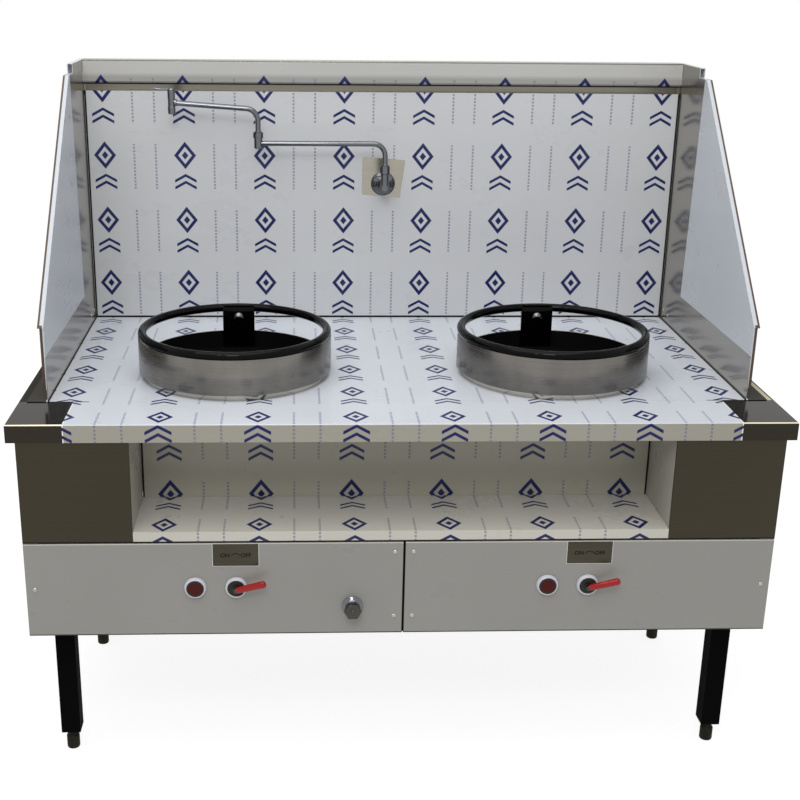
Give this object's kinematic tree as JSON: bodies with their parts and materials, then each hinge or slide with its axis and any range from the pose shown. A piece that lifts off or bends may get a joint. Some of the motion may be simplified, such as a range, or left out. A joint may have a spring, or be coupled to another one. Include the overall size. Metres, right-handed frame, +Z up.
{
  "type": "wok range",
  "caption": "Stainless wok range: bench with open-backed wok rings and fire wells, shelf recess, gas controls, splashback with side wings and a double-jointed swing tap.",
  "frame": {"origin": "on the floor, under the middle of the whole range", "axes": "+X to the right seen from the front, +Y to the back, +Z up"},
  "size_m": [1.5, 0.839, 1.382],
  "materials": {
    "bench_steel": "brushed, partly under white protective film",
    "panel_steel": "brushed, under white protective film",
    "side_steel": "bare, mirror-like, reflecting dark surroundings",
    "splash_steel": "brushed, under white protective film",
    "rear_zinc": "galvanised sheet",
    "frame_black": "black paint",
    "foot_zinc": "zinc plated",
    "ring_steel": "brushed",
    "rim_black": "gloss black",
    "well_iron": "black",
    "valve_brass": "satin",
    "pipe_zinc": "galvanised",
    "pipe_copper": null,
    "bezel_white": "satin white",
    "button_red": "dark red",
    "spindle_chrome": "polished",
    "grip_red": "glossy red vinyl",
    "plate_steel": "etched",
    "tap_chrome": "polished",
    "cap_dark": "dark nickel"
  },
  "bodies": {
    "range": {"leg_front_left": "frame_black", "leg_rear_left": "frame_black", "leg_front_right": "frame_black", "leg_rear_right": "frame_black", "top_frame": "frame_black", "lower_frame": "frame_black", "bench_top": "bench_steel", "side_panel_left": "side_steel", "cheek_left": "side_steel", "side_panel_right": "side_steel", "cheek_right": "side_steel", "shelf": "panel_steel", "recess_back": "panel_steel", "rear_panel": "rear_zinc", "front_panel_left": "panel_steel", "front_panel_right": "panel_steel", "fire_well_left": "well_iron", "wok_collar_left": "ring_steel", "wok_shroud_left": "ring_steel", "wok_rim_left": "rim_black", "burner_left": "well_iron", "fire_well_right": "well_iron", "wok_collar_right": "ring_steel", "wok_shroud_right": "ring_steel", "wok_rim_right": "rim_black", "burner_right": "well_iron", "splash_panel": "splash_steel", "splash_header": "splash_steel", "wing_left": "splash_steel", "wing_right": "splash_steel", "gas_valve_left": "valve_brass", "valve_bezel_left": "bezel_white", "button_housing_left": "bezel_white", "switch_plate_left": "plate_steel", "gas_valve_right": "valve_brass", "valve_bezel_right": "bezel_white", "button_housing_right": "bezel_white", "switch_plate_right": "plate_steel", "water_valve_body": "tap_chrome", "gas_manifold": "pipe_zinc", "burner_pipe_left": "pipe_zinc", "burner_pipe_right": "pipe_zinc", "water_pipe": "pipe_copper", "tap_body": "tap_chrome"},
    "foot_front_left": {"foot_front_left": "foot_zinc"},
    "foot_front_right": {"foot_front_right": "foot_zinc"},
    "foot_rear_left": {"foot_rear_left": "foot_zinc"},
    "foot_rear_right": {"foot_rear_right": "foot_zinc"},
    "valve_lever_left": {"valve_spindle_left": "spindle_chrome", "lever_grip_left": "grip_red"},
    "valve_lever_right": {"valve_spindle_right": "spindle_chrome", "lever_grip_right": "grip_red"},
    "igniter_left": {"igniter_button_left": "button_red"},
    "igniter_right": {"igniter_button_right": "button_red"},
    "water_cap": {"water_valve_cap": "cap_dark"},
    "tap_inner": {"tap_inner_arm": "tap_chrome"},
    "tap_outer": {"tap_outer_arm": "tap_chrome", "tap_outlet": "tap_chrome"},
    "tap_lever": {"outlet_lever": "tap_chrome"}
  },
  "joints": [
    {"name": "foot_front_left_screw", "type": "slide", "parent": "range", "child": "foot_front_left", "axis": [0, 0, -1], "range_m": [0, 0.02]},
    {"name": "foot_front_right_screw", "type": "slide", "parent": "range", "child": "foot_front_right", "axis": [0, 0, -1], "range_m": [0, 0.02]},
    {"name": "foot_rear_left_screw", "type": "slide", "parent": "range", "child": "foot_rear_left", "axis": [0, 0, -1], "range_m": [0, 0.02]},
    {"name": "foot_rear_right_screw", "type": "slide", "parent": "range", "child": "foot_rear_right", "axis": [0, 0, -1], "range_m": [0, 0.02]},
    {"name": "valve_left_turn", "type": "hinge", "parent": "range", "child": "valve_lever_left", "pos_m": [-0.325, -0.38846, 0.4335], "axis": [0, -1, 0], "range_deg": [0, 90]},
    {"name": "valve_right_turn", "type": "hinge", "parent": "range", "child": "valve_lever_right", "pos_m": [0.369, -0.38846, 0.4335], "axis": [0, -1, 0], "range_deg": [0, 90]},
    {"name": "igniter_left_push", "type": "slide", "parent": "range", "child": "igniter_left", "axis": [0, 1, 0], "range_m": [0, 0.005], "stiffness_N_per_m": 400, "springref_m": -0.001},
    {"name": "igniter_right_push", "type": "slide", "parent": "range", "child": "igniter_right", "axis": [0, 1, 0], "range_m": [0, 0.005], "stiffness_N_per_m": 400, "springref_m": -0.001},
    {"name": "water_cap_turn", "type": "hinge", "parent": "range", "child": "water_cap", "pos_m": [-0.0965, -0.38846, 0.3895], "axis": [0, -1, 0], "range_deg": [0, 90]},
    {"name": "tap_inner_swing", "type": "hinge", "parent": "range", "child": "tap_inner", "pos_m": [0, 0.31954, 1.1025], "axis": [0, 0, 1], "range_deg": [0, 135]},
    {"name": "tap_outer_swing", "type": "hinge", "parent": "tap_inner", "child": "tap_outer", "pos_m": [-0.292, 0.31954, 1.1025], "axis": [0, 0, 1], "range_deg": [0, 150]},
    {"name": "tap_lever_turn", "type": "hinge", "parent": "tap_outer", "child": "tap_lever", "pos_m": [-0.487, 0.31954, 1.1025], "axis": [0, 0, 1], "range_deg": [0, 90]}
  ]
}
